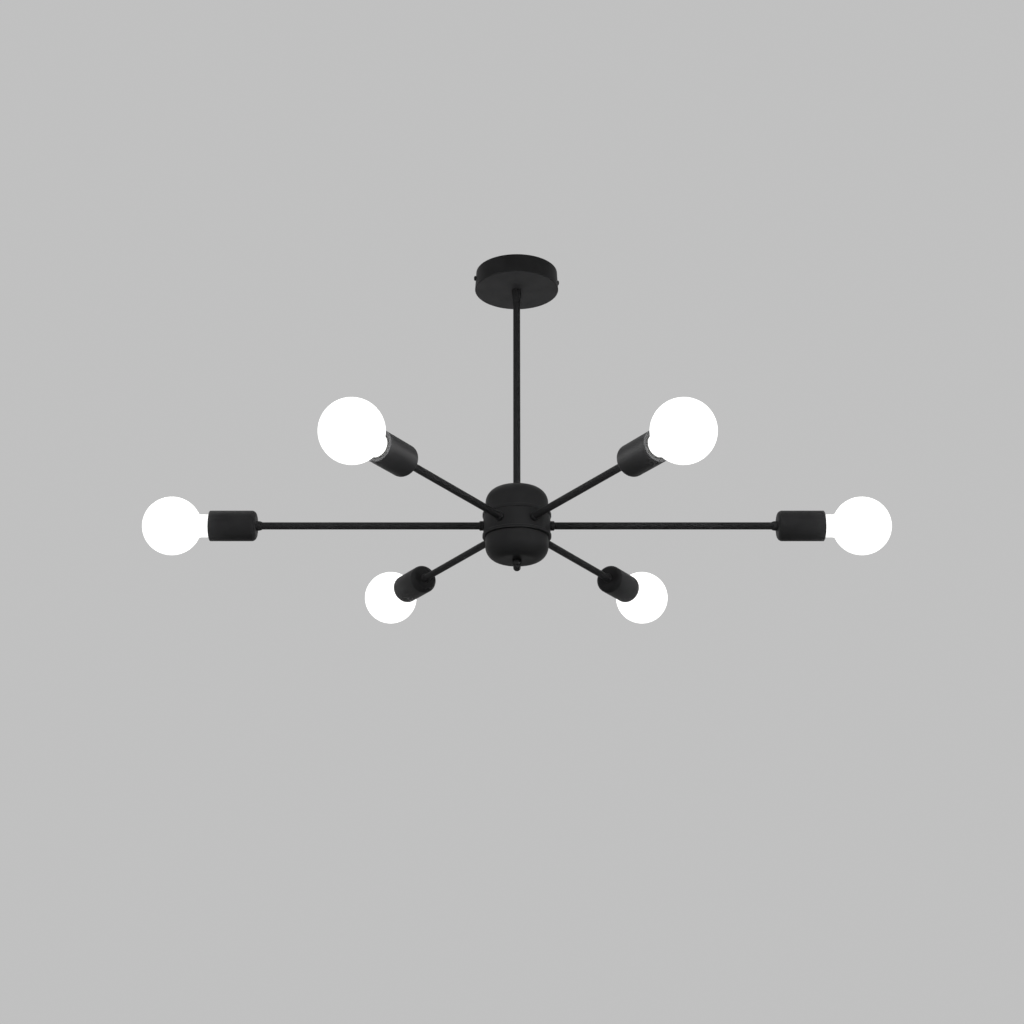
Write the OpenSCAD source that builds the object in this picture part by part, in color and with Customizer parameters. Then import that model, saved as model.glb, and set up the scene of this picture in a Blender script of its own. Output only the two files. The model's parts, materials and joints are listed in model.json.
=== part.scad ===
// Six-arm ceiling light with globe bulbs, hung from a round canopy on a rigid rod.
// Origin: on the ceiling plane, on the rod's axis. The light hangs towards -Z.
// Arms 1 and 4 lie along +X and -X and are longer than the other four.
// Parts of one arm are drawn about +Z with zero at the mouth of its cup, then laid along the arm.

/* [Canopy] */
// outer diameter of the canopy
canopy_d = 120; // [100:1:140]
// height of the canopy below the ceiling
canopy_h = 28; // [26:1:40]
// sheet thickness of the canopy
canopy_wall = 1.2; // [1:0.1:2]
// angle of the ceiling bracket and its side screws from the X axis
bracket_angle = 7; // [-15:1:15]
// distance between the two ceiling screw holes
bracket_hole_span = 76; // [72:1:84]

/* [Rod and hub] */
// distance from the ceiling down to the plane of the arms
drop = 387; // [250:1:600]
// outer diameter of the rod and of the arm tubes
tube_d = 10; // [9.5:0.1:10.5]
// wall of the rod and of the arm tubes
tube_wall = 1; // [0.8:0.1:1.2]
// outer diameter of the hub band at its rims
band_d = 94.4; // [92:0.2:104]
// height of the hub band
band_h = 34.8; // [33:0.2:40]
// outer diameter of the two hub covers
cover_d = 86.4; // [85:0.2:88]
// height of the top cover's crown above the plane of the arms
cover_top = 53; // [48:0.5:62]
// depth of the bottom cover's floor below the plane of the arms
cover_bottom = 50; // [50:0.5:60]
// corner radius of the two hub covers
cover_corner = 20; // [14:0.5:24]

/* [Arms and cups] */
// distance from the rod's axis to the cup mouth on the two long arms
long_reach = 420.5; // [360:0.5:500]
// distance from the rod's axis to the cup mouth on the four short arms
short_reach = 339.5; // [280:0.5:420]
// outer diameter of the socket cups
cup_d = 42; // [41.6:0.1:44]
// length of the socket cups
cup_len = 64; // [63.5:0.5:72]

/* [Bulbs] */
// diameter of the glass globes
globe_d = 80; // [60:1:95]
// distance from the cup mouth to the centre of the globe
globe_out = 52; // [45:0.5:62]
// diameter of the globe's neck
neck_d = 31; // [29:0.5:33.4]

/* [Hidden] */
$fn = 96;
arms = 6;
arm_step = 360 / arms;
eps = 0.01;

// clearances
slip = 0.15;       // radial, between pieces of the fixed frame
run = 0.3;         // between a moving piece and its seat
gap_wire = 0.3;    // between the end of a lead and what it meets

// tubes and thread sizes
tube_r = tube_d / 2;
bore_r = tube_r - tube_wall;
tube_hole_r = tube_r + slip;
nut_af = 14;
nut_h = 4;
nut_corner_r = nut_af / 2 / cos(30);

// canopy and bracket
canopy_r = canopy_d / 2;
canopy_corner = 1.6;
canopy_draft = 1.6;   // how much narrower the canopy is at the ceiling, in radius
canopy_top_r = canopy_r - canopy_draft;
canopy_floor = -canopy_h + canopy_wall;
strap_w = 20;
strap_t = 2;
tab_w = 14;
tab_drop = 17;
strap_r = canopy_top_r - canopy_wall - run;
tab_out = sqrt(pow(strap_r, 2) - pow(tab_w / 2, 2));
ceiling_hole_r = 2.75;
cable_hole_r = 5;
side_screw_z = -11.5;
side_shank_r = 1.8;
side_shank_len = 9;
side_head_r = 3.5;
side_head_h = 2.6;
side_hole_r = side_shank_r + run;
side_seat_r = canopy_r - canopy_draft * (1 + side_screw_z / canopy_h);

// terminal block on the underside of the strap
block_x = 20;
block_size = [16, 30, 10];
block_pole_step = 9;
block_tower_r = 3.6;
block_tower_h = 2.5;
block_wire_r = 1.6;
block_wire_z = -strap_t - 6;
block_screw_r = 2.2;
block_screw_x = 4;
block_screw_depth = 4;
earth_x = -22;
earth_head_r = 4;
earth_head_h = 2.4;
earth_shank_r = 1.9;
hub_earth_drop = 4;
slot_w = 0.9;
slot_depth = 1;

// rod
rod_top = canopy_floor + nut_h + 5;
collar_r = 7;
collar_len = 18;
collar_straight = 6;

// hub, heights measured from the plane of the arms
hub_z = -drop;
band_r = band_d / 2;
waist_r = band_r - 1.2;
rim_h = 4.9;
rim_edge = 0.8;
cover_r = cover_d / 2;
cover_wall = 1.2;
cover_seat_r = cover_r + 0.4;
band_bore_r = cover_r - 1.7;
shelf_r = band_bore_r - 5.5;
seat_depth = 2.5;
seat_depth_low = 5;
shelf_t = 2.5;
shelf_top = band_h / 2 - seat_depth;
plate_t = 2.5;
plate_top = shelf_top - shelf_t;
loop_t = 2;
loop_w = 12;
loop_x = 17;
loop_top = plate_top - plate_t;
loop_bottom = loop_top - 38;
rod_bottom = loop_top - loop_t - nut_h - 2;
stud_r = 3;
stud_hole_r = stud_r + 0.4;
stud_nut_af = 10;
stud_nut_h = 5;
stud_top = loop_bottom + loop_t + stud_nut_h + 2;
finial_base_r = 6.3;
finial_base_h = 7;
finial_tip_r = 5;
finial_len = 14.5;
finial_bore = 10;
stud_bottom = -cover_bottom - finial_bore + 1;
cover_top_edge = shelf_top;
cover_low_edge = -band_h / 2 + seat_depth_low - run;

// arms, positions along the rod axis are radii from the hub's centre
arm_inner_r = 34;
arm_nut_out = sqrt(pow(band_bore_r, 2) - pow(nut_corner_r, 2)) - slip;
arm_collar_r = 6.6;
arm_collar_len = 5.5;
cup_collar_r = 6.6;
cup_collar_len = 7.5;
cup_r = cup_d / 2;
cup_wall = 1.5;
cup_corner = 6.5;
cup_edge = 1.2;
holder_r = cup_r - cup_wall - run;
holder_front = -1.5;
holder_floor = -32;
holder_floor_t = 5;
chamber_r = 12;
chamber_end = -48;
holder_body_end = -40;
holder_taper_end = -50.5;
holder_taper_r = 14;
boss_r = 9;
arm_tube_end = chamber_end - 1;
recess_r = 17.3;
recess_depth = 4.5;

// lampholder metal parts, for a bulb cap of 27 mm
shell_r = 13.5;
shell_t = 0.6;
shell_front = -6;
shell_flange_r = 8;
rivet_r = 1.5;
rivet_end = holder_floor - holder_floor_t - 1;
side_rivet_y = -10;
contact_r = 4;
contact_h = 1;
button_r = 2.5;

// bulbs
globe_r = globe_d / 2;
glass_t = 1.2;
neck_r = neck_d / 2;
neck_fillet = 5;
fillet_lap = 0.03;
arc_steps = 6;
neck_round = 4;
neck_end = -2.5;
stem_r = 11.35;
stem_end = -6.3;
cap_skirt_r = 13.2;
cap_skirt_end = -6.3;
cap_root_r = 12.1;
cap_thread_r = 1;
cap_pitch = 3.6;
cap_threads = 4;
cap_end = -21.5;
cap_bore_r = 11.5;
cap_base_t = 1;
insulator_end = -27.5;
insulator_r = 5.5;
tip_r = 4.7;
bulb_tip = -30;

// leads
wire_r = 0.9;
wire_sides = 8;
wire_side_offset = 1.6;
rod_wire_offset = 2.2;
connector_r = 4.8;
connector_h = 18;
connector_y = 13.5;
connector_ring = 2.4;
connector_depth = 5;
connector_ribs = 8;
connector_rib_r = 0.7;
live_mouth = -13;
neutral_mouth = -20;
curve_steps = 6;

// the leads of the arms ring the hub towards their connector, the ones from furthest away on the inside
live_ring = [24.3, -7.2];       // radius and height of the innermost live lead
neutral_ring = [26.4, -15.2];   // radius and height of the innermost neutral lead
ring_step = [2.6, 2];           // to the next lead outwards and upwards
ring_from = [20, 20, 18];       // angle from the arm to where each lead joins its ring
ring_to = [83, 51, 18];         // angle from the arm to where it leaves it
ring_point_step = 20;
ring_first_span = 150;          // angle from the innermost lead's arm round to its connector
tube_lead_in = 2.4;             // handles of the curves that join the straight and round stretches
ring_lead_in = 4.8;
ring_lead_out = 6;
mouth_lead_in = 10;
rod_lead_out = 4.8;
earth_lead_out = 4;
rod_lead_over = 7;
pole_lead_out = 9;
pole_depth = 3;
lead_end_gap = 1;               // from the end of a lead to the floor of its connector's mouth
rivet_lead_out = 4;

// colours
black = [0.07, 0.07, 0.075];
opal = [0.97, 0.97, 0.95];
zinc = [0.72, 0.73, 0.74];
brass = [0.80, 0.66, 0.36];
alloy = [0.80, 0.80, 0.80];
ivory = [0.86, 0.86, 0.80];
holder_black = [0.12, 0.12, 0.12];
brown = [0.42, 0.22, 0.12];
blue = [0.10, 0.25, 0.62];
green = [0.20, 0.55, 0.20];

function arm_angle(k) = (k - 1) * arm_step;
function reach(k) = (k == 1 || k == 4) ? long_reach : short_reach;
// which way the live lead of arm k turns in the hub, 1 is anticlockwise
function lead_turn(k) = cos(arm_angle(k)) > 0 ? 1 : -1;
function place(r, a, z) = [r * cos(a), r * sin(a), z];
function turned(p, a) = [p.x * cos(a) - p.y * sin(a), p.x * sin(a) + p.y * cos(a), p.z];
function unit(v) = v / norm(v);
function bezier(a, b, c, d, t) =
    a * pow(1 - t, 3) + 3 * b * pow(1 - t, 2) * t + 3 * c * (1 - t) * t * t + d * pow(t, 3);
function curve(a, b, c, d) = [for (i = [1 : curve_steps]) bezier(a, b, c, d, i / curve_steps)];

// helpers

// half outline of a round body from z0 to z1, with its corner rounded at z1
module rounded_half(r, z0, z1, corner) {
    up = z1 > z0 ? 1 : -1;
    translate([0, min(z0, z1 - up * corner)])
        square([r, abs(z1 - up * corner - z0)]);
    translate([0, min(z1, z1 - up * corner)])
        square([r - corner, corner]);
    intersection() {
        translate([r - corner, z1 - up * corner])
            circle(corner);
        translate([0, min(z0, z1)])
            square([r, abs(z1 - z0)]);
    }
}

module ring(r_out, r_in, z0, z1) {
    difference() {
        translate([0, 0, min(z0, z1)])
            cylinder(r = r_out, h = abs(z1 - z0));
        translate([0, 0, min(z0, z1) - 1])
            cylinder(r = r_in, h = abs(z1 - z0) + 2);
    }
}

// hexagon nut with its corners chamfered on both faces
module hex_nut(af, hole_r, h) {
    corner_r = af / 2 / cos(30);
    drop_h = (corner_r - af / 2) * tan(30);
    difference() {
        intersection() {
            cylinder(r = corner_r, h = h, $fn = 6);
            rotate_extrude()
                polygon([
                    [0, 0],
                    [af / 2, 0],
                    [corner_r + eps, drop_h],
                    [corner_r + eps, h - drop_h],
                    [af / 2, h],
                    [0, h]
                ]);
        }
        translate([0, 0, -1])
            cylinder(r = hole_r, h = h + 2);
    }
}

// lays a body drawn about +Z along arm k, with its zero at the cup mouth
module on_arm(k) {
    translate([0, 0, hub_z])
        rotate([0, 0, arm_angle(k)])
            translate([reach(k), 0, 0])
                rotate([0, 90, 0])
                    children();
}

module in_bracket() {
    rotate([0, 0, bracket_angle])
        children();
}

// one tube along a route of points, as a ring of sides at each point
function tangent(p, i) =
    i == 0 ? unit(p[1] - p[0])
    : i == len(p) - 1 ? unit(p[i] - p[i - 1])
    : unit(unit(p[i + 1] - p[i]) + unit(p[i] - p[i - 1]));
function square_to(v, t) = unit(v - t * (v * t));
function first_side(t) = square_to(abs(t.z) < 0.7 ? [0, 0, 1] : [1, 0, 0], t);
function sides_along(p, i, v) =
    i == len(p) ? []
    : let (s = i == 0 ? first_side(tangent(p, 0)) : square_to(v, tangent(p, i)))
      concat([s], sides_along(p, i + 1, s));

module wire(p) {
    n = wire_sides;
    s = sides_along(p, 0, [0, 0, 0]);
    points = [
        for (i = [0 : len(p) - 1])
            let (t = tangent(p, i), u = s[i], w = cross(t, u))
                for (j = [0 : n - 1])
                    p[i] + wire_r * (u * cos(j * 360 / n) + w * sin(j * 360 / n))
    ];
    walls = [
        for (i = [0 : len(p) - 2])
            for (j = [0 : n - 1])
                let (a = i * n + j, b = i * n + (j + 1) % n)
                    [b, a, a + n, b + n]
    ];
    last = (len(p) - 1) * n;
    polyhedron(
        points = points,
        faces = concat(
            walls,
            [[for (j = [0 : n - 1]) j]],
            [[for (j = [n - 1 : -1 : 0]) last + j]]
        ),
        convexity = 4
    );
}

// ceiling group

module ceiling_bracket() {
    color(zinc)
        in_bracket()
            difference() {
                union() {
                    intersection() {
                        translate([-tab_out, -strap_w / 2, -strap_t])
                            cube([2 * tab_out, strap_w, strap_t]);
                        translate([0, 0, -strap_t])
                            cylinder(r = strap_r, h = strap_t);
                    }
                    for (side = [0, 1])
                        mirror([side, 0, 0])
                            tab();
                }
                for (side = [-1, 1])
                    translate([side * bracket_hole_span / 2, 0, -strap_t - 1])
                        cylinder(r = ceiling_hole_r, h = strap_t + 2);
                translate([0, 0, -strap_t - 1])
                    cylinder(r = cable_hole_r, h = strap_t + 2);
                translate([earth_x, 0, -strap_t - 1])
                    cylinder(r = earth_shank_r + slip, h = strap_t + 2);
                for (side = [-1, 1])
                    translate([side * (tab_out - strap_t / 2), 0, side_screw_z])
                        rotate([0, 90, 0])
                            cylinder(r = side_hole_r, h = 2 * strap_t, center = true);
            }
}

// one tab that bends down from the end of the strap, with a round lower end
module tab() {
    translate([tab_out - strap_t, -tab_w / 2, -tab_drop + tab_w / 2])
        cube([strap_t, tab_w, tab_drop - tab_w / 2]);
    translate([tab_out - strap_t, 0, -tab_drop + tab_w / 2])
        rotate([0, 90, 0])
            cylinder(d = tab_w, h = strap_t);
}

module canopy() {
    color(black)
        difference() {
            rotate_extrude()
                difference() {
                    canopy_half(0, 0);
                    canopy_half(canopy_wall, 1);
                    translate([-1, -canopy_h - 1])
                        square([tube_hole_r + 1, canopy_h]);
                }
            in_bracket()
                for (side = [-1, 1])
                    translate([side * side_seat_r, 0, side_screw_z])
                        rotate([0, 90, 0])
                            cylinder(r = side_hole_r, h = 4 * canopy_wall, center = true);
        }
}

// half outline of the canopy, set in by t, up to a height above the ceiling plane
module canopy_half(t, above) {
    intersection() {
        rounded_half(canopy_r - t, above, -canopy_h + t, canopy_corner - t);
        polygon([
            [0, 2],
            [canopy_top_r - t, 2],
            [canopy_top_r - t, 0],
            [canopy_r + canopy_draft - t, -2 * canopy_h],
            [0, -2 * canopy_h]
        ]);
    }
}

// thumb screw through the side of the canopy into a tab of the bracket
module canopy_screw(side) {
    color(black)
        in_bracket()
            mirror([side < 0 ? 1 : 0, 0, 0])
                translate([side_seat_r + run, 0, side_screw_z])
                    rotate([0, 90, 0])
                        rotate_extrude() {
                            rounded_half(side_head_r, 0, side_head_h, 0.8);
                            translate([0, -side_shank_len])
                                square([side_shank_r, side_shank_len + 1]);
                        }
}

module terminal_block() {
    color(ivory)
        in_bracket()
            translate([block_x, 0, -strap_t])
                difference() {
                    union() {
                        translate([-block_size.x / 2, -block_size.y / 2, -block_size.z])
                            cube(block_size);
                        at_block_screws()
                            translate([0, 0, -block_size.z - block_tower_h])
                                cylinder(r = block_tower_r, h = block_tower_h + 1);
                    }
                    at_block_screws()
                        translate([0, 0, -block_size.z - block_tower_h - 1])
                            cylinder(
                                r = block_screw_r + slip,
                                h = block_tower_h + block_screw_depth + 1
                            );
                    for (pole = [-1 : 1])
                        translate([-block_size.x, pole * block_pole_step, block_wire_z + strap_t])
                            rotate([0, 90, 0])
                                cylinder(r = block_wire_r, h = 2 * block_size.x);
                }
}

module at_block_screws() {
    for (pole = [-1 : 1])
        for (side = [-1, 1])
            translate([side * block_screw_x, pole * block_pole_step, 0])
                children();
}

module terminal_screws() {
    color(brass)
        in_bracket()
            translate([block_x, 0, -strap_t - block_size.z])
                at_block_screws()
                    translate([0, 0, -1])
                        slotted(block_screw_r, block_screw_depth);
}

// plain round screw body with a slot across its lower end, standing up from z = 0
module slotted(r, h) {
    difference() {
        cylinder(r = r, h = h);
        translate([-r - 1, -slot_w / 2, -1])
            cube([2 * r + 2, slot_w, slot_depth + 1]);
    }
}

module earth_screws() {
    color(brass) {
        in_bracket()
            translate([earth_x, 0, -strap_t - earth_head_h])
                earth_screw();
        translate([loop_x - loop_t - earth_head_h, 0, hub_z + rod_bottom - hub_earth_drop])
            rotate([0, 90, 0])
                earth_screw();
    }
}

module earth_screw() {
    slotted(earth_head_r, earth_head_h);
    cylinder(r = earth_shank_r, h = earth_head_h + strap_t - slot_depth + 1 - eps);
}

module down_rod() {
    color(black)
        ring(tube_r, bore_r, rod_top, hub_z + rod_bottom);
}

module rod_collar() {
    color(black)
        translate([0, 0, -canopy_h])
            rotate_extrude()
                polygon([
                    [tube_hole_r, 0],
                    [collar_r, 0],
                    [collar_r, -collar_straight],
                    [tube_hole_r + 0.5, -collar_len],
                    [tube_hole_r, -collar_len]
                ]);
}

module rod_nuts() {
    color(zinc) {
        translate([0, 0, canopy_floor])
            hex_nut(nut_af, tube_hole_r, nut_h);
        translate([0, 0, hub_z + plate_top])
            hex_nut(nut_af, tube_hole_r, nut_h);
        translate([0, 0, hub_z + loop_top - loop_t - nut_h])
            hex_nut(nut_af, tube_hole_r, nut_h);
    }
}

// hub group

module hub_top_cover() {
    color(black)
        translate([0, 0, hub_z])
            cover(cover_top_edge, cover_top, tube_hole_r);
}

module hub_bottom_cover() {
    color(black)
        translate([0, 0, hub_z])
            cover(cover_low_edge, -cover_bottom, stud_hole_r);
}

// thin domed cover, open at z_edge and closed at z_end with a centre hole
module cover(z_edge, z_end, hole_r) {
    up = z_end > z_edge ? 1 : -1;
    rotate_extrude()
        difference() {
            rounded_half(cover_r, z_edge, z_end, cover_corner);
            rounded_half(
                cover_r - cover_wall,
                z_edge - up * eps,
                z_end - up * cover_wall,
                cover_corner - cover_wall
            );
            translate([-1, min(z_edge, z_end) - 1])
                square([hole_r + 1, abs(z_end - z_edge) + 2]);
        }
}

module hub_band() {
    color(black)
        translate([0, 0, hub_z])
            difference() {
                rotate_extrude()
                    band_outline();
                for (k = [1 : arms])
                    rotate([0, 0, arm_angle(k)])
                        translate([arm_inner_r, 0, 0])
                            rotate([0, 90, 0])
                                cylinder(r = tube_hole_r, h = band_r);
            }
}

// spool outline: two proud rims, a waist, a shelf for the plate and a seat for each cover
module band_outline() {
    top = band_h / 2;
    polygon([
        [shelf_r, shelf_top],
        [cover_seat_r, shelf_top],
        [cover_seat_r, top],
        [band_r - rim_edge, top],
        [band_r - 0.3 * rim_edge, top - 0.3 * rim_edge],
        [band_r, top - rim_edge],
        [band_r, top - rim_h + rim_edge],
        [waist_r, top - rim_h],
        [waist_r, -top + rim_h],
        [band_r, -top + rim_h - rim_edge],
        [band_r, -top + rim_edge],
        [band_r - 0.3 * rim_edge, -top + 0.3 * rim_edge],
        [band_r - rim_edge, -top],
        [cover_seat_r, -top],
        [cover_seat_r, -top + seat_depth_low],
        [band_bore_r, -top + seat_depth_low],
        [band_bore_r, plate_top],
        [shelf_r, plate_top]
    ]);
}

module hub_plate() {
    color(zinc)
        translate([0, 0, hub_z])
            ring(band_bore_r - slip, tube_hole_r, plate_top, plate_top - plate_t);
}

// closed loop of strap that hangs on the rod's end under the plate and holds the stud
module finial_bracket() {
    color(zinc)
        translate([0, 0, hub_z])
            difference() {
                translate([-loop_x, -loop_w / 2, loop_bottom])
                    cube([2 * loop_x, loop_w, loop_top - loop_bottom]);
                translate([-loop_x + loop_t, -loop_w, loop_bottom + loop_t])
                    cube([2 * (loop_x - loop_t), 2 * loop_w, loop_top - loop_bottom - 2 * loop_t]);
                translate([0, 0, loop_top - loop_t - 1])
                    cylinder(r = tube_hole_r, h = loop_t + 2);
                translate([0, 0, loop_bottom - 1])
                    cylinder(r = stud_r + slip, h = loop_t + 2);
                translate([loop_x - loop_t, 0, rod_bottom - hub_earth_drop])
                    rotate([0, 90, 0])
                        cylinder(r = earth_shank_r + slip, h = 3 * loop_t, center = true);
            }
}

module finial_stud() {
    color(zinc)
        translate([0, 0, hub_z + stud_bottom])
            cylinder(r = stud_r, h = stud_top - stud_bottom);
}

module stud_nuts() {
    color(zinc)
        translate([0, 0, hub_z]) {
            translate([0, 0, loop_bottom + loop_t])
                hex_nut(stud_nut_af, stud_r + slip, stud_nut_h);
            translate([0, 0, loop_bottom - stud_nut_h])
                hex_nut(stud_nut_af, stud_r + slip, stud_nut_h);
        }
}

module finial() {
    color(black)
        translate([0, 0, hub_z - cover_bottom - run])
            rotate_extrude()
                difference() {
                    union() {
                        rounded_half(finial_base_r, 0, -finial_base_h, 1.5);
                        rounded_half(finial_tip_r, 0, -finial_len, finial_tip_r - 0.5);
                    }
                    translate([-1, -finial_bore])
                        square([stud_hole_r - 0.1 + 1, finial_bore + 1]);
                }
}

module wire_connectors() {
    color(ivory)
        translate([0, 0, hub_z]) {
            translate([0, connector_y, live_mouth])
                wire_connector();
            translate([0, -connector_y, neutral_mouth])
                wire_connector();
        }
}

// closed-end cap that hangs mouth up, with its mouth at z = 0 and ribs to grip it by
module wire_connector() {
    rotate_extrude()
        difference() {
            rounded_half(connector_r, 0, -connector_h, 1.5);
            translate([-1, -connector_depth])
                square([connector_ring + wire_r + slip + 1, connector_depth + 1]);
        }
    for (i = [1 : connector_ribs])
        rotate([0, 0, i * 360 / connector_ribs])
            translate([connector_r - 0.2, 0, -connector_h + 3])
                cylinder(r = connector_rib_r, h = connector_h - 6);
}

// arm group

module arm_tube(k) {
    color(black)
        on_arm(k)
            ring(tube_r, bore_r, arm_tube_end, arm_inner_r - reach(k));
}

module arm_collars() {
    color(black)
        for (k = [1 : arms])
            on_arm(k)
                translate([0, 0, waist_r - reach(k)])
                    tube_collar(arm_collar_r, arm_collar_len, 1.2);
}

// collar seated against z = 0 that tapers to the tube
module tube_collar(r, len, taper) {
    rotate_extrude()
        polygon([
            [tube_hole_r, 0],
            [r, 0],
            [r, len - taper],
            [r - 0.3 * (r - tube_hole_r), len - 0.4 * taper],
            [tube_hole_r + 0.2, len],
            [tube_hole_r, len]
        ]);
}

module arm_nuts() {
    color(zinc)
        for (k = [1 : arms])
            on_arm(k)
                translate([0, 0, arm_nut_out - nut_h - reach(k)])
                    hex_nut(nut_af, tube_hole_r, nut_h);
}

module cup_collars() {
    color(black)
        for (k = [1 : arms])
            on_arm(k)
                translate([0, 0, -cup_len])
                    mirror([0, 0, 1])
                        tube_collar(cup_collar_r, cup_collar_len, 4);
}

module socket_cup(k) {
    color(black)
        on_arm(k)
            rotate_extrude()
                difference() {
                    intersection() {
                        rounded_half(cup_r, 0, -cup_len, cup_corner);
                        rounded_half(cup_r, -cup_len, 0, cup_edge);
                    }
                    translate([0, eps])
                        rounded_half(
                            cup_r - cup_wall,
                            0,
                            -cup_len + cup_wall - eps,
                            cup_corner - cup_wall
                        );
                    translate([-1, -cup_len - 1])
                        square([tube_hole_r + 1, cup_len]);
                }
}

module lampholder(k) {
    color(holder_black)
        on_arm(k)
            difference() {
                rotate_extrude()
                    holder_outline();
                translate([0, 0, rivet_end])
                    cylinder(r = rivet_r + slip, h = holder_floor - rivet_end + 1);
                translate([0, side_rivet_y * lead_turn(k), rivet_end])
                    cylinder(r = rivet_r + slip, h = holder_floor - rivet_end + 1);
            }
}

module holder_outline() {
    polygon([
        [tube_hole_r, -cup_len + cup_wall],
        [boss_r, -cup_len + cup_wall],
        [boss_r, holder_taper_end],
        [holder_taper_r, holder_taper_end],
        [holder_r, holder_body_end],
        [holder_r, holder_front - 0.6],
        [holder_r - 0.6, holder_front],
        [recess_r, holder_front],
        [recess_r, -recess_depth],
        [shell_r + shell_t + slip, -recess_depth],
        [shell_r + shell_t + slip, holder_floor],
        [0, holder_floor],
        [0, holder_floor - holder_floor_t],
        [chamber_r, holder_floor - holder_floor_t],
        [chamber_r, chamber_end],
        [tube_hole_r, chamber_end]
    ]);
}

// screw shell that lies on the lampholder's floor, with the rivet that carries its lead
module lampholder_shells() {
    color(alloy)
        for (k = [1 : arms])
            on_arm(k) {
                rotate_extrude()
                    polygon([
                        [shell_flange_r, holder_floor],
                        [shell_r + shell_t, holder_floor],
                        [shell_r + shell_t, shell_front],
                        [shell_r, shell_front],
                        [shell_r, holder_floor + shell_t],
                        [shell_flange_r, holder_floor + shell_t]
                    ]);
                translate([0, side_rivet_y * lead_turn(k), rivet_end])
                    cylinder(r = rivet_r, h = holder_floor - rivet_end + eps);
            }
}

module lampholder_contacts() {
    color(brass)
        for (k = [1 : arms])
            on_arm(k) {
                translate([0, 0, holder_floor])
                    cylinder(r = contact_r, h = contact_h);
                translate([0, 0, holder_floor])
                    cylinder(r = button_r, h = bulb_tip - run - holder_floor);
                translate([0, 0, rivet_end])
                    cylinder(r = rivet_r, h = holder_floor - rivet_end + eps);
            }
}

// bulbs

// outline of the neck and stem, set in by t, with a fillet towards the globe
function neck_outline(t) =
    let (
        fillet_r = neck_r + neck_fillet,
        fillet_z = globe_out - sqrt(pow(globe_r + neck_fillet, 2) - pow(fillet_r, 2)),
        start = atan2(globe_out - fillet_z, -fillet_r),
        round_r = neck_r - neck_round,
        end = t > 0 ? stem_end - 1 : stem_end
    )
    concat(
        [[0, globe_out]],
        [
            for (i = [0 : arc_steps])
                let (
                    a = start + (180 - start) * i / arc_steps,
                    f = neck_fillet + t + (i == 0 ? fillet_lap : 0)
                )
                    [fillet_r + f * cos(a), fillet_z + f * sin(a)]
        ],
        [
            for (i = [0 : arc_steps])
                let (a = -90 * i / arc_steps)
                    [
                        round_r + (neck_round - t) * cos(a),
                        neck_end + neck_round + (neck_round - t) * sin(a)
                    ]
        ],
        [
            [stem_r - t, neck_end + t],
            [stem_r - t, end],
            [0, end]
        ]
    );

// solid body of the glass, set in by t
module globe_body(t) {
    translate([0, 0, globe_out])
        sphere(globe_r - t, $fn = 160);
    rotate_extrude()
        polygon(neck_outline(t));
}

module bulb_globe(k) {
    color(opal)
        on_arm(k)
            difference() {
                globe_body(0);
                globe_body(glass_t);
            }
}

// metal screw cap with a rounded thread, the dark insulator at its base and the centre contact
module bulb_cap(k) {
    color(alloy)
        on_arm(k) {
            rotate_extrude()
                cap_outline();
            rotate_extrude()
                polygon([
                    [0, cap_end],
                    [cap_root_r - 1.5, cap_end],
                    [insulator_r, insulator_end],
                    [0, insulator_end]
                ]);
            rotate_extrude()
                rounded_half(tip_r, insulator_end, bulb_tip, 1.2);
        }
}

module cap_outline() {
    difference() {
        union() {
            translate([0, cap_skirt_end])
                square([cap_skirt_r, neck_end - cap_skirt_end]);
            translate([0, cap_end])
                square([cap_root_r, neck_end - cap_end]);
            for (i = [0 : cap_threads - 1])
                translate([cap_root_r, cap_skirt_end - cap_pitch * (i + 0.5)])
                    circle(cap_thread_r, $fn = 32);
        }
        translate([-1, cap_end + cap_base_t])
            square([cap_bore_r + 1, neck_end - cap_end]);
    }
}

// leads

// lead from the lampholder of arm k to its wire connector, side 1 is live and -1 neutral
function arm_lead(k, side, mouth, ring, end_y) =
    let (
        a = arm_angle(k),
        way = side * lead_turn(k),
        span = ((side * 90 - a) * way + 720) % 360,
        i = (ring_first_span - span) / arm_step,
        r = ring.x + i * ring_step.x,
        z = ring.y + i * ring_step.y,
        inner = turned([arm_inner_r, way * wire_side_offset, 0], a),
        joins = a + way * ring_from[i],
        leaves = a + way * ring_to[i],
        on = place(r, joins, z),
        off = place(r, leaves, z),
        slot = place(connector_ring, (i - 1) * arm_step, 0),
        low = [lead_turn(k) * slot.x, side * (connector_y + slot.y), mouth - connector_depth + lead_end_gap]
    )
    concat(
        [
            turned([reach(k) + rivet_end - gap_wire, end_y * lead_turn(k), 0], a),
            turned([reach(k) + rivet_end - rivet_lead_out, end_y * lead_turn(k), 0], a),
            turned([reach(k) + arm_tube_end + 1, way * wire_side_offset, 0], a),
            inner
        ],
        curve(inner, inner - place(tube_lead_in, a, 0), on - way * place(ring_lead_in, joins + 90, 0), on),
        ring_points(r, joins, leaves, z),
        into_connector(off, off + way * place(ring_lead_out, leaves + 90, 0), low)
    );

function ring_points(r, a, b, z) =
    let (n = round(abs(b - a) / ring_point_step))
    [for (i = [1 : 1 : n]) place(r, a + (b - a) * i / n, z)];

// last stretch of a lead, which ends straight down in the mouth of its connector
function into_connector(from, towards, low) =
    let (top = low + [0, 0, connector_depth - lead_end_gap / 2])
    concat(curve(from, towards, top + [0, 0, mouth_lead_in], top), [low]);

module arm_leads_live() {
    color(brown)
        translate([0, 0, hub_z])
            for (k = [1 : arms])
                wire(arm_lead(k, 1, live_mouth, live_ring, 0));
}

module arm_leads_neutral() {
    color(blue)
        translate([0, 0, hub_z])
            for (k = [1 : arms])
                wire(arm_lead(k, -1, neutral_mouth, neutral_ring, side_rivet_y));
}

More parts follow.
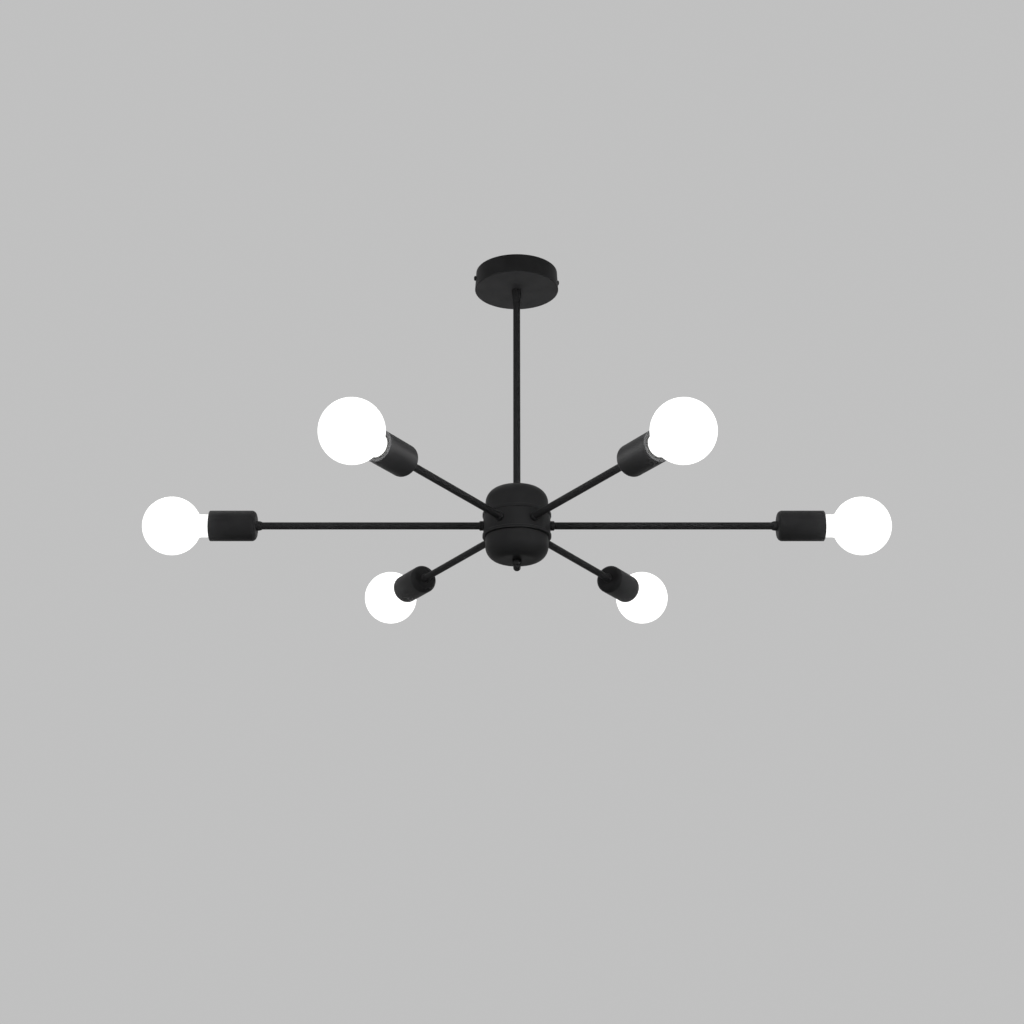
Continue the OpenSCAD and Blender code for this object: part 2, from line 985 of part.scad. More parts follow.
// lead from a pole of the terminal block over the rod's top end and down its bore
function rod_lead(pole, at) =
    let (
        pole_x = block_x - block_size.x / 2 + pole_depth,
        pole_y = pole * block_pole_step,
        pole_in = turned([pole_x, pole_y, block_wire_z], bracket_angle),
        pole_out = turned([pole_x - pole_lead_out, pole_y, block_wire_z], bracket_angle),
        rod_in = [at.x, at.y, rod_top]
    )
    concat(
        [pole_in],
        curve(pole_in, pole_out, rod_in + [0, 0, rod_lead_over], rod_in),
        [rod_out(at)]
    );
function rod_out(at) = [at.x, at.y, hub_z + rod_bottom];

// supply lead that goes on from the rod into a wire connector, side 1 is live and -1 neutral
function supply_lead(side, mouth) =
    let (at = [0, side * rod_wire_offset])
    concat(
        rod_lead(side, at),
        into_connector(
            rod_out(at),
            rod_out(at) - [0, 0, rod_lead_out],
            [0, side * connector_y, hub_z + mouth - connector_depth + lead_end_gap]
        )
    );

module supply_lead_live() {
    color(brown)
        wire(supply_lead(1, live_mouth));
}

module supply_lead_neutral() {
    color(blue)
        wire(supply_lead(-1, neutral_mouth));
}

module supply_lead_earth() {
    at = [rod_wire_offset, 0];
    end = [loop_x - loop_t - earth_head_h - gap_wire, 0, hub_z + rod_bottom - hub_earth_drop];
    color(green)
        wire(concat(
            rod_lead(0, at),
            curve(rod_out(at), rod_out(at) - [0, 0, earth_lead_out], end - [earth_lead_out, 0, 0], end)
        ));
}

ceiling_bracket();
canopy();
canopy_screw(-1);  // canopy_screw_1
canopy_screw(1);  // canopy_screw_2
terminal_block();
terminal_screws();
earth_screws();
down_rod();
rod_collar();
rod_nuts();
supply_lead_live();
supply_lead_neutral();
supply_lead_earth();
hub_top_cover();
hub_band();
hub_plate();
finial_bracket();
finial_stud();
stud_nuts();
hub_bottom_cover();
finial();
wire_connectors();
arm_tube(1);  // arm_tube_1
arm_tube(2);  // arm_tube_2
arm_tube(3);  // arm_tube_3
arm_tube(4);  // arm_tube_4
arm_tube(5);  // arm_tube_5
arm_tube(6);  // arm_tube_6
arm_collars();
arm_nuts();
cup_collars();
socket_cup(1);  // socket_cup_1
socket_cup(2);  // socket_cup_2
socket_cup(3);  // socket_cup_3
socket_cup(4);  // socket_cup_4
socket_cup(5);  // socket_cup_5
socket_cup(6);  // socket_cup_6
lampholder(1);  // lampholder_1
lampholder(2);  // lampholder_2
lampholder(3);  // lampholder_3
lampholder(4);  // lampholder_4
lampholder(5);  // lampholder_5
lampholder(6);  // lampholder_6
lampholder_shells();
lampholder_contacts();
arm_leads_live();
arm_leads_neutral();
bulb_globe(1);  // bulb_globe_1
bulb_globe(2);  // bulb_globe_2
bulb_globe(3);  // bulb_globe_3
bulb_globe(4);  // bulb_globe_4
bulb_globe(5);  // bulb_globe_5
bulb_globe(6);  // bulb_globe_6
bulb_cap(1);  // bulb_cap_1
bulb_cap(2);  // bulb_cap_2
bulb_cap(3);  // bulb_cap_3
bulb_cap(4);  // bulb_cap_4
bulb_cap(5);  // bulb_cap_5
bulb_cap(6);  // bulb_cap_6
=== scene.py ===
"""Looks of a six-arm ceiling light with opal globe bulbs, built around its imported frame.

Blender works in metres in the row frame: the ceiling plane is z = 0 and the light hangs towards -Z.
Shapes that are written out as numbers are in millimetres and are scaled by MM.
"""
import json
import math

import bmesh
import bpy
from mathutils import Matrix, Vector

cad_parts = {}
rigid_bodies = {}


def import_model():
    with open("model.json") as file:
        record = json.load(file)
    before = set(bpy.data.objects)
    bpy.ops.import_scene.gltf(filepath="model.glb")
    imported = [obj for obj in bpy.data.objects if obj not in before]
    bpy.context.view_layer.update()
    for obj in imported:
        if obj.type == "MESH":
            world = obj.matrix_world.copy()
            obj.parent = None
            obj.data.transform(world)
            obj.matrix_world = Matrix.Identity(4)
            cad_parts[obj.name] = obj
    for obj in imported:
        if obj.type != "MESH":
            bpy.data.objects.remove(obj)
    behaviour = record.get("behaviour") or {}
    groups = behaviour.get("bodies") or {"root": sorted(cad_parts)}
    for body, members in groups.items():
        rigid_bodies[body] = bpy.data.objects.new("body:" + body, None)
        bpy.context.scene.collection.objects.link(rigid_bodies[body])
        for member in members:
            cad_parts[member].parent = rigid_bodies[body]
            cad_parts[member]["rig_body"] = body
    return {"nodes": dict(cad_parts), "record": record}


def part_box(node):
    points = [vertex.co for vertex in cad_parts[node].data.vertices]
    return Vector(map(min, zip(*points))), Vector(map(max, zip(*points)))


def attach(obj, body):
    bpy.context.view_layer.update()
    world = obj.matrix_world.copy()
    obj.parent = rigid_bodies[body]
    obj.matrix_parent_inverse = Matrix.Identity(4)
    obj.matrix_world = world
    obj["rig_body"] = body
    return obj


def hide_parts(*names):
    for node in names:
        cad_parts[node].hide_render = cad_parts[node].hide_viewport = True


MM = 0.001
ARMS = range(1, 7)
FRONT_ARMS = (5, 6)
SEGMENTS = 96                           # faces round a turned body
TUBE_SEGMENTS = 48
SCREW_SEGMENTS = 32
SHARP = math.radians(38)                # edges with a greater angle stay sharp

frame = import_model()
NODES = frame["nodes"]
SLOT_OF = {part["node"]: part["material_slot"] for part in frame["record"]["subparts"]}
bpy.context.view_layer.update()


# Places taken from the frame

def centre(node):
    low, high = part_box(node)
    return (low + high) / 2


def arm_angle(k):
    return math.radians(60 * (k - 1))


def arm_direction(k):
    return Vector((math.cos(arm_angle(k)), math.sin(arm_angle(k)), 0))


def extent(node, direction):
    """Least and greatest distance of a node along a direction, in metres."""
    along = [vertex.co.dot(direction) for vertex in NODES[node].data.vertices]
    return min(along), max(along)


REACH = {k: extent(f"socket_cup_{k}", arm_direction(k))[1] for k in ARMS}
HUB_Z = centre("arm_tube_1").z
HUB = Vector((0, 0, HUB_Z))
ROD_LOW, ROD_HIGH = (corner.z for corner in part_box("down_rod"))
BRACKET_ANGLE = math.radians(7)
SCREW_SPOT = (0.05936, 0, -0.0115)      # under the head of a canopy screw, before the bracket's turn
GLOBE_OUT = 0.052                       # centre of a globe from the mouth of its cup


def on_arm(k, along=0.0):
    """Frame of arm k with +Z outwards and zero at the mouth of its cup."""
    spot = HUB + arm_direction(k) * (REACH[k] + along)
    turned_to_arm = Matrix.Translation(spot) @ Matrix.Rotation(arm_angle(k), 4, "Z")
    return turned_to_arm @ Matrix.Rotation(math.pi / 2, 4, "Y")


# Node helpers

def new_material(name):
    material = bpy.data.materials.new(name)
    material.use_nodes = True
    tree = material.node_tree
    tree.nodes.clear()
    out = tree.nodes.new("ShaderNodeOutputMaterial")
    shader = tree.nodes.new("ShaderNodeBsdfPrincipled")
    tree.links.new(shader.outputs["BSDF"], out.inputs["Surface"])
    return material, tree, shader


def noise(tree, scale, detail, rough=0.55):
    """Noise over the object, with its scale in cells per metre."""
    node = tree.nodes.new("ShaderNodeTexNoise")
    node.inputs["Scale"].default_value = scale
    node.inputs["Detail"].default_value = detail
    node.inputs["Roughness"].default_value = rough
    source = tree.nodes.new("ShaderNodeTexCoord").outputs["Object"]
    tree.links.new(source, node.inputs["Vector"])
    return node.outputs["Fac"]


def spread(tree, value, low, high, from_low=0.3, from_high=0.7):
    """The value, with what lies from from_low to from_high spread over low to high."""
    node = tree.nodes.new("ShaderNodeMapRange")
    node.inputs["From Min"].default_value = from_low
    node.inputs["From Max"].default_value = from_high
    node.inputs["To Min"].default_value = low
    node.inputs["To Max"].default_value = high
    tree.links.new(value, node.inputs["Value"])
    return node.outputs["Result"]


def mix_colour(tree, factor, a, b):
    node = tree.nodes.new("ShaderNodeMix")
    node.data_type = "RGBA"
    tree.links.new(factor, node.inputs["Factor"])
    for value, socket in ((a, "A"), (b, "B")):
        target = [s for s in node.inputs if s.name == socket and s.type == "RGBA"][0]
        if isinstance(value, tuple):
            target.default_value = (*value, 1)
        else:
            tree.links.new(value, target)
    return [s for s in node.outputs if s.type == "RGBA"][0]


def times(tree, a, b):
    node = tree.nodes.new("ShaderNodeMath")
    node.operation = "MULTIPLY"
    tree.links.new(a, node.inputs[0])
    tree.links.new(b, node.inputs[1])
    return node.outputs["Value"]


def upward(tree):
    """How far a face looks up, from 0 on a wall to 1 on a top."""
    geometry = tree.nodes.new("ShaderNodeNewGeometry")
    split = tree.nodes.new("ShaderNodeSeparateXYZ")
    tree.links.new(geometry.outputs["Normal"], split.inputs["Vector"])
    return spread(tree, split.outputs["Z"], 0.0, 1.0, 0.35, 1.0)


def bump(tree, shader, height, depth, strength, before=None):
    """Relief of a depth in metres, laid over an earlier one where there is one."""
    node = tree.nodes.new("ShaderNodeBump")
    node.inputs["Distance"].default_value = depth
    node.inputs["Strength"].default_value = strength
    tree.links.new(height, node.inputs["Height"])
    if before:
        tree.links.new(before, node.inputs["Normal"])
    tree.links.new(node.outputs["Normal"], shader.inputs["Normal"])
    return node.outputs["Normal"]


# Materials

COAT_TONES = ((0.0122, 0.0122, 0.0125), (0.0172, 0.0172, 0.0176))
COAT_GLOSS = 0.05
DUST_TONE = (0.28, 0.27, 0.26)
GLASS_TONES = ((0.93, 0.93, 0.91), (0.90, 0.90, 0.88))
BULB_GLOW = (1.0, 1.0, 0.985, 1)
BULB_STRENGTH = 1.2
FLOOR_TONE = (0.25, 0.25, 0.25)
FLOOR_PATCH = 0.985                     # tone of the floor's faint patches, as a share of its own
FLOOR_LIFT = 0.487                      # glow where the floor is seen, which makes it as pale as the backdrop


def black_coat():
    """Matte black powder coat: fine orange peel, uneven sheen and a little dust on what looks up."""
    material, tree, shader = new_material("black_coat")
    cloud = spread(tree, noise(tree, 38, 4), 0.0, 1.0)
    tone = mix_colour(tree, cloud, *COAT_TONES)
    dust = times(tree, upward(tree), spread(tree, noise(tree, 160, 6, 0.7), 0.0, 0.10, 0.42, 0.75))
    tree.links.new(mix_colour(tree, dust, tone, DUST_TONE), shader.inputs["Base Color"])
    tree.links.new(spread(tree, noise(tree, 70, 5), 0.43, 0.51), shader.inputs["Roughness"])
    shader.inputs["Specular IOR Level"].default_value = COAT_GLOSS
    peel = bump(tree, shader, noise(tree, 620, 2, 0.5), 0.00004, 0.5)
    bump(tree, shader, noise(tree, 2600, 2, 0.6), 0.00002, 0.5, before=peel)
    return material


def opal_glass():
    """Opal glass lit from inside."""
    material, tree, shader = new_material("opal_glass")
    cloud = spread(tree, noise(tree, 45, 3), 0.0, 1.0)
    tree.links.new(mix_colour(tree, cloud, *GLASS_TONES), shader.inputs["Base Color"])
    tree.links.new(spread(tree, noise(tree, 60, 2), 0.10, 0.16), shader.inputs["Roughness"])
    bump(tree, shader, noise(tree, 24, 2, 0.4), 0.0002, 0.15)
    shader.inputs["Emission Color"].default_value = BULB_GLOW
    shader.inputs["Emission Strength"].default_value = BULB_STRENGTH
    return material


def metal(name, colour, dark, rough):
    """Bare or plated metal with a fine uneven sheen and duller spots."""
    material, tree, shader = new_material(name)
    shader.inputs["Metallic"].default_value = 1.0
    sheen = noise(tree, 260, 4, 0.6)
    dull = spread(tree, noise(tree, 90, 5), 0.0, 1.0)
    tree.links.new(mix_colour(tree, dull, colour, dark), shader.inputs["Base Color"])
    tree.links.new(spread(tree, sheen, rough - 0.08, rough + 0.12), shader.inputs["Roughness"])
    bump(tree, shader, sheen, 0.00002, 0.35)
    return material


def plastic(name, colour, shade, rough, grain=900, gloss=0.5):
    """Moulded plastic with a fine grain and slight cloudiness."""
    material, tree, shader = new_material(name)
    cloud = spread(tree, noise(tree, 55, 4), 0.0, 1.0)
    tree.links.new(mix_colour(tree, cloud, colour, shade), shader.inputs["Base Color"])
    tree.links.new(spread(tree, noise(tree, 130, 4), rough - 0.07, rough + 0.07), shader.inputs["Roughness"])
    shader.inputs["Specular IOR Level"].default_value = gloss
    bump(tree, shader, noise(tree, grain, 3), 0.00003, 0.45)
    return material


def seen_directly(tree):
    """1 for rays from the camera and for those that glossy and clear surfaces send on, else 0."""
    path = tree.nodes.new("ShaderNodeLightPath")
    direct = path.outputs["Is Camera Ray"]
    for kind in ("Is Glossy Ray", "Is Transmission Ray"):
        either = tree.nodes.new("ShaderNodeMath")
        either.operation = "MAXIMUM"
        tree.links.new(direct, either.inputs[0])
        tree.links.new(path.outputs[kind], either.inputs[1])
        direct = either.outputs["Value"]
    return direct


def floor_material():
    material, tree, shader = new_material("floor")
    patches = spread(tree, noise(tree, 1.4, 3), 0.0, 1.0)
    darker = tuple(c * FLOOR_PATCH for c in FLOOR_TONE)
    tree.links.new(mix_colour(tree, patches, FLOOR_TONE, darker), shader.inputs["Base Color"])
    shader.inputs["Roughness"].default_value = 0.9
    shader.inputs["Specular IOR Level"].default_value = 0.1
    shader.inputs["Emission Color"].default_value = (1, 1, 1, 1)
    lift = spread(tree, seen_directly(tree), 0.0, FLOOR_LIFT, 0.0, 1.0)
    tree.links.new(lift, shader.inputs["Emission Strength"])
    return material


FINISH = {
    "black_coat": black_coat(),
    "opal_glass": opal_glass(),
    "zinc_steel": metal("zinc_steel", (0.50, 0.51, 0.52), (0.36, 0.37, 0.39), 0.40),
    "brass": metal("brass", (0.78, 0.60, 0.29), (0.62, 0.45, 0.20), 0.28),
    "bright_alloy": metal("bright_alloy", (0.80, 0.80, 0.79), (0.66, 0.66, 0.66), 0.26),
    "black_thermoplastic": plastic(
        "black_thermoplastic", (0.012, 0.012, 0.012), (0.017, 0.017, 0.017), 0.6, gloss=0.2,
    ),
    "ivory_plastic": plastic("ivory_plastic", (0.76, 0.72, 0.60), (0.70, 0.66, 0.54), 0.38),
    "brown_sheath": plastic("brown_sheath", (0.17, 0.07, 0.03), (0.12, 0.05, 0.022), 0.36, 1400),
    "blue_sheath": plastic("blue_sheath", (0.03, 0.10, 0.36), (0.022, 0.075, 0.29), 0.36, 1400),
    "green_sheath": plastic("green_sheath", (0.10, 0.33, 0.08), (0.07, 0.26, 0.06), 0.36, 1400),
}
CAP_GLASS = plastic("cap_glass", (0.012, 0.010, 0.012), (0.02, 0.016, 0.018), 0.14, 500)
SOLDER = metal("solder", (0.60, 0.60, 0.61), (0.44, 0.44, 0.46), 0.30)


def dress_frame():
    """Gives every carried-over CAD node the finish of its slot."""
    for name, node in NODES.items():
        node.data.materials.clear()
        node.data.materials.append(FINISH[SLOT_OF[name]])


# Mesh helpers

def circle(r, z, segments=SEGMENTS):
    """Ring of points about +Z, or one point where r is 0. r and z may be functions of the turn, 0 to 1."""
    if r == 0:
        return [(0, 0, z * MM)]
    ring = []
    for j in range(segments):
        turn = j / segments
        radius = r(turn) if callable(r) else r
        height = z(turn) if callable(z) else z
        angle = math.tau * turn
        ring.append((radius * math.cos(angle) * MM, radius * math.sin(angle) * MM, height * MM))
    return ring


def circles(outline, segments=SEGMENTS):
    """Rings about +Z for the points (r, z) of an outline in millimetres."""
    return [circle(r, z, segments) for r, z in outline]


def skin(name, rings, loop=False):
    """Mesh over rings of points. A ring of one point closes an end. With loop, the last joins the first."""
    points, starts, faces = [], [], []
    for ring in rings:
        starts.append((len(points), len(ring)))
        points += ring
    following = starts[1:] + starts[:1] if loop else starts[1:]
    for (a, count_a), (b, count_b) in zip(starts, following):
        count = max(count_a, count_b)
        for j in range(count):
            after = (j + 1) % count
            if count_a == 1:
                faces.append((a, b + after, b + j))
            elif count_b == 1:
                faces.append((a + j, a + after, b))
            else:
                faces.append((a + j, a + after, b + after, b + j))
    mesh = bpy.data.meshes.new(name)
    mesh.from_pydata(points, [], faces)
    return tidy(mesh)


def tidy(mesh):
    """Joins doubled points, turns the faces outwards and shades smooth between sharp edges."""
    work = bmesh.new()
    work.from_mesh(mesh)
    bmesh.ops.remove_doubles(work, verts=work.verts, dist=1e-7)
    bmesh.ops.dissolve_degenerate(work, edges=work.edges, dist=1e-7)
    bmesh.ops.recalc_face_normals(work, faces=work.faces)
    for face in work.faces:
        face.smooth = True
    work.to_mesh(mesh)
    work.free()
    mesh.set_sharp_from_angle(angle=SHARP)
    return mesh


def turned(name, outline, segments=SEGMENTS):
    """Round body from an outline of (r, z) in millimetres, closed on itself unless it starts on the axis."""
    rings = circles(outline, segments)
    return skin(name, rings, loop=len(rings[0]) > 1)


def joined(name, parts):
    """One mesh from parts of (mesh, material number, matrix)."""
    work = bmesh.new()
    for mesh, number, matrix in parts:
        points, faces = len(work.verts), len(work.faces)
        work.from_mesh(mesh)
        work.verts.ensure_lookup_table()
        work.faces.ensure_lookup_table()
        for vertex in work.verts[points:]:
            vertex.co = matrix @ vertex.co
        for face in work.faces[faces:]:
            face.material_index = number
    whole = bpy.data.meshes.new(name)
    work.to_mesh(whole)
    work.free()
    whole.set_sharp_from_angle(angle=SHARP)
    return whole


def carved(mesh, cutter):
    """The mesh with the cutter's shape taken out of it."""
    body = bpy.data.objects.new("carved", mesh)
    tool = bpy.data.objects.new("cutter", cutter)
    for item in (body, tool):
        bpy.context.scene.collection.objects.link(item)
    cut = body.modifiers.new("cut", "BOOLEAN")
    cut.operation = "DIFFERENCE"
    cut.solver = "EXACT"
    cut.object = tool
    bpy.context.view_layer.update()
    result = bpy.data.meshes.new_from_object(body.evaluated_get(bpy.context.evaluated_depsgraph_get()))
    for item in (body, tool):
        bpy.data.objects.remove(item)
    result.set_sharp_from_angle(angle=SHARP)
    return result


def add_piece(name, mesh, nodes, materials, matrix=None):
    """Puts a mesh in the scene as a piece that stands for CAD nodes, which it hides, with their body."""
    if not mesh.materials:
        for material in materials:
            mesh.materials.append(material)
    piece = bpy.data.objects.new(name, mesh)
    bpy.context.scene.collection.objects.link(piece)
    if matrix is not None:
        piece.matrix_world = matrix
    bpy.context.view_layer.update()
    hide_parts(*nodes)
    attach(piece, NODES[nodes[0]]["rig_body"])
    return piece


# Threads

CAP_PITCH = 3.6
THREAD_FADE = 1.2                       # over which a rolled thread ends


def rolled(z, turn, top, bottom):
    """Height from 0 to 1 of a rolled thread at height z, fading out towards top and bottom."""
    wave = 0.5 + 0.5 * math.cos(math.tau * (z / CAP_PITCH - turn))
    edge = max(0.0, min(1.0, (top - z) / THREAD_FADE, (z - bottom) / THREAD_FADE))
    return wave * edge


def levels(top, bottom, rows):
    """Heights from top to bottom in equal steps."""
    return [top + (bottom - top) * i / rows for i in range(rows + 1)]


def cut_thread(crest, root, pitch, bottom, top, segments):
    """Rings of a sharp thread from bottom to top, whose crests and roots follow the helix."""
    rows = 2 * math.ceil((top - bottom) / pitch) + 4
    rings = []
    for i in range(rows):
        def height(turn, i=i):
            return max(bottom, min(top, bottom + (i / 2 + turn - 1.5) * pitch))

        def radius(turn, i=i):
            inside = bottom < height(turn) < top
            return crest if inside and i % 2 else root

        rings.append(circle(radius, height, segments))
    return rings


# Bulb caps and lampholder shells, about +Z with zero at the mouth of the cup

CAP_TOP = -6.3                          # outer and inner end of the cap's thread
CAP_LOW = -20.6
CAP_ROOT = 12.1                         # radius of the cap at the root of its thread
SHELL_ROOT = 12.65                      # inner radius of the shell at the root of its thread
SHELL_SHEET = 0.35                      # thickness of the shell
RIVET_SIDE = 10                         # from the arm's axis to the rivet of a shell


def screw_cap():
    """Rolled screw cap with its dark glass insulator and soldered centre contact."""
    rings = circles([(13.0, -2.5), (13.2, -2.75), (13.2, -5.7), (13.05, -6.0), (12.4, -6.2)])
    rings += [
        circle(lambda turn, z=z: CAP_ROOT + rolled(z, turn, CAP_TOP, CAP_LOW), z)
        for z in levels(CAP_TOP, CAP_LOW, 48)
    ]
    rings += circles([(11.8, -21.1), (11.2, -21.4), (10.5, -21.5), (10.5, -21.1)])
    rings += circles([(11.5, -20.8), (11.5, -2.8), (11.7, -2.5)])
    shell = skin("cap_shell", rings, loop=True)
    glass = turned("cap_glass", [
        (0, -21.2), (10.45, -21.2), (10.4, -21.7), (9.9, -22.3), (8.6, -23.8), (7.4, -25.2),
        (6.3, -26.5), (5.8, -27.1), (5.2, -27.45), (0, -27.5),
    ])
    contact = turned("cap_contact", [
        (0, -27.4), (4.5, -27.4), (4.7, -27.7), (4.6, -28.4), (4.1, -28.9), (3.0, -29.2), (2.5, -29.45),
        (1.8, -29.8), (0.9, -29.97), (0, -30),
    ])
    still = Matrix.Identity(4)
    return joined("screw_cap", [(shell, 0, still), (glass, 1, still), (contact, 2, still)])


def screw_shell():
    """Thin shell rolled with the same thread as the cap, with its flange on the lampholder's floor."""
    top, neck, floor, bore = -6.0, -6.8, -31.65, 8
    thread_top, thread_low = -7.0, -29.0
    heights = levels(thread_top, thread_low, 60)

    def wall(z, r):
        return circle(lambda turn: r + rolled(z, turn, thread_top, thread_low), z)

    outer = SHELL_ROOT + SHELL_SHEET
    under = floor - SHELL_SHEET
    rings = circles([(13.35, top), (13.3 + SHELL_SHEET, top), (outer, neck)])
    rings += [wall(z, outer) for z in heights]
    rings += circles([(outer, floor + 0.4), (12.5, floor - 0.2), (12.2, under), (bore, under)])
    rings += circles([(bore, floor), (11.9, floor), (12.4, floor + 0.15), (SHELL_ROOT, floor + 0.6)])
    rings += [wall(z, SHELL_ROOT) for z in reversed(heights)]
    rings += circles([(12.7, neck)])
    return skin("screw_shell", rings, loop=True)


def rivet():
    """Rivet with its head on the shell's flange and a dimpled end behind the floor that holds the lead."""
    return turned("rivet", [
        (0, -31.1), (1.3, -31.1), (2.0, -31.3), (2.3, -31.6), (1.5, -31.65), (1.5, -37.2), (1.3, -37.6),
        (1.0, -37.9), (0.5, -38.0), (0, -37.6),
    ], 24)


def lead_turn(k):
    """Which way the live lead of arm k turns in the hub."""
    return 1 if math.cos(arm_angle(k)) > 0 else -1


def add_caps_and_shells():
    """Adds the six screw caps and the screw shells, and returns them."""
    cap = screw_cap()
    materials = [FINISH["bright_alloy"], CAP_GLASS, SOLDER]
    made = []
    for k in ARMS:
        made.append(add_piece(f"screw_cap_{k}", cap, [f"bulb_cap_{k}"], materials, on_arm(k)))
    parts = []
    shell, pin = screw_shell(), rivet()
    for k in ARMS:
        parts.append((shell, 0, on_arm(k)))
        aside = Matrix.Translation((0, -RIVET_SIDE * MM * lead_turn(k), 0))
        parts.append((pin, 0, on_arm(k) @ aside))
    shells = joined("screw_shells", parts)
    made.append(add_piece("screw_shells", shells, ["lampholder_shells"], [FINISH["bright_alloy"]]))
    return made


# Screws, rod and tubes

ROD_THREADS = (20, 14)                  # lengths of the cut threads at the low and the high end
TUBE_THREAD = 12                        # the same at both ends of an arm's tube


def cross(width, length, depth, lift):
    """Cutter for a cross recess, tapering down from z = lift."""
    w = width / 2
    rings = [[(0, 0, lift * MM)]]
    for z, l in ((lift, length / 2), (lift - depth, length / 4)):
        quarter = [(l, -w), (l, w), (w, w)]
        outline = []
        for turn in range(4):
            for x, y in quarter:
                outline.append(((x, y), (-y, x), (-x, -y), (y, -x))[turn])
        rings.append([(x * MM, y * MM, z * MM) for x, y in outline])
    rings.append([(0, 0, (lift - depth) * MM)])
    return skin("cross", rings)


def canopy_screw():
    """Round-head screw with a cross recess, its head standing up from z = 0."""
    quarter = [math.pi / 2 * i / 10 for i in range(10)]
    head = [(1.7, 0), (3.3, 0), (3.5, 0.25)] + [(3.5 * math.cos(a), 1.2 + 1.4 * math.sin(a)) for a in quarter]
    rings = circles([(0, -9.0), (1.2, -9.0)], SCREW_SEGMENTS)
    rings += cut_thread(1.75, 1.4, 0.7, -8.8, -0.6, SCREW_SEGMENTS)
    rings += circles([(1.75, -0.3), *head, (0, 2.6)], SCREW_SEGMENTS)
    return carved(skin("canopy_screw", rings), cross(width=0.9, length=3.6, depth=1.5, lift=2.8))


def add_canopy_screws():
    mesh = canopy_screw()
    for number, turn in ((1, math.pi), (2, 0)):
        spot = Matrix.Translation(SCREW_SPOT) @ Matrix.Rotation(math.pi / 2, 4, "Y")
        matrix = Matrix.Rotation(BRACKET_ANGLE + turn, 4, "Z") @ spot
        add_piece(f"side_screw_{number}", mesh, [f"canopy_screw_{number}"], [FINISH["black_coat"]], matrix)


def threaded_tube(name, length, low_thread, high_thread):
    """Tube along +Z from zero, with a cut thread over both ends and chamfered mouths."""
    outer, bore, root, pitch, chamfer = 5.0, 4.0, 4.5, 1.0, 0.3
    rings = circles([(bore + 0.2, 0), (root - 0.1, 0)], TUBE_SEGMENTS)
    rings += cut_thread(outer, root, pitch, chamfer, low_thread, TUBE_SEGMENTS)
    rings += circles([(outer, low_thread + 0.5), (outer, length - high_thread - 0.5)], TUBE_SEGMENTS)
    rings += cut_thread(outer, root, pitch, length - high_thread, length - chamfer, TUBE_SEGMENTS)
    rings += circles([(root - 0.1, length), (bore + 0.2, length)], TUBE_SEGMENTS)
    rings += circles([(bore, length - chamfer), (bore, chamfer)], TUBE_SEGMENTS)
    return skin(name, rings, loop=True)


def add_tubes():
    rod = threaded_tube("rod", (ROD_HIGH - ROD_LOW) / MM, *ROD_THREADS)
    add_piece("threaded_rod", rod, ["down_rod"], [FINISH["black_coat"]], Matrix.Translation((0, 0, ROD_LOW)))
    tubes = {}
    for k in ARMS:
        near, far = extent(f"arm_tube_{k}", arm_direction(k))
        length = round((far - near) / MM, 2)
        if length not in tubes:
            tubes[length] = threaded_tube(f"tube_{length:.0f}", length, TUBE_THREAD, TUBE_THREAD)
        matrix = on_arm(k, near - REACH[k])
        add_piece(f"threaded_tube_{k}", tubes[length], [f"arm_tube_{k}"], [FINISH["black_coat"]], matrix)


# Leads, whose routes are the ones of the solids

WIRE_R = 0.9
INNER_R = 34                            # inner end of the arm tubes
TUBE_SIDE = 1.6                         # the two leads of an arm tube lie on either side of its axis
ROD_SIDE = 2.2                          # the three supply leads lie round the rod's axis
CONNECTOR_Y = 13.5                      # the connectors stand on either side of the rod's axis
CONNECTOR_RING = 2.4                    # the leads of a connector lie round its middle
LEAD_DEPTH = 4                          # of a lead's end under the mouth of its connector
LEAD_STRAIGHT = 4.5                     # last stretch of that lead, straight down
POLE_STEP = 9                           # from pole to pole of the terminal block
POLE_X, POLE_Z = 15, -8                 # end of a lead in its pole
EARTH_END = (12.3, -4)                  # at the finial bracket, from the rod's axis and its low end

# Leads of an arm from the mouth of its cup inwards: their ends at the lampholder, where they have come
# straight out of it, and where they are in line with their places in the tube
LEAD_END, LEAD_OUT, LEAD_LINE = 38.3, 42, 48

# The leads of the arms ring the hub towards their connector, the ones from furthest away on the inside.
# The three values of a list are for the innermost lead, the next and the outermost.
RING_FIRST_SPAN = 150                   # angle from the innermost lead's arm round to its connector
RING_FROM = (20, 20, 18)                # angle from the arm to where each lead joins its ring
RING_TO = (83, 51, 18)                  # angle from the arm to where it leaves it
RING_STEP = (2.6, 2)                    # to the next lead outwards and upwards
RING_POINT_STEP = 20

# For live, which is 1, and neutral, which is -1. Heights count from the plane of the arms.
RING = {1: (24.3, -7.2), -1: (26.4, -15.2)}   # radius and height of the innermost lead
MOUTH = {1: -13, -1: -20}               # mouth of the connector
RIVET_Y = {1: 0, -1: -RIVET_SIDE}       # end of the lead at the lampholder, from the arm's axis

# Handles of the curves that join the straight and round stretches
TUBE_LEAD_IN = 2.4
RING_LEAD_IN = 4.8
RING_LEAD_OUT = 6
MOUTH_LEAD_IN = 10
ROD_LEAD_OUT = 4.8
EARTH_LEAD_OUT = 4
ROD_LEAD_OVER = 7
POLE_LEAD_OUT = 9

CORNER = 5                              # most that a rounded corner of a route takes of each side
CLOSEST = 0.05                          # points of a route lie further apart than this


def place(r, degrees, z):
    angle = math.radians(degrees)
    return Vector((r * math.cos(angle), r * math.sin(angle), z))


def beside(x, y, degrees, z=0.0):
    """Point at x along a direction and y to the left of it."""
    return place(x, degrees, z) + place(y, degrees + 90, 0)


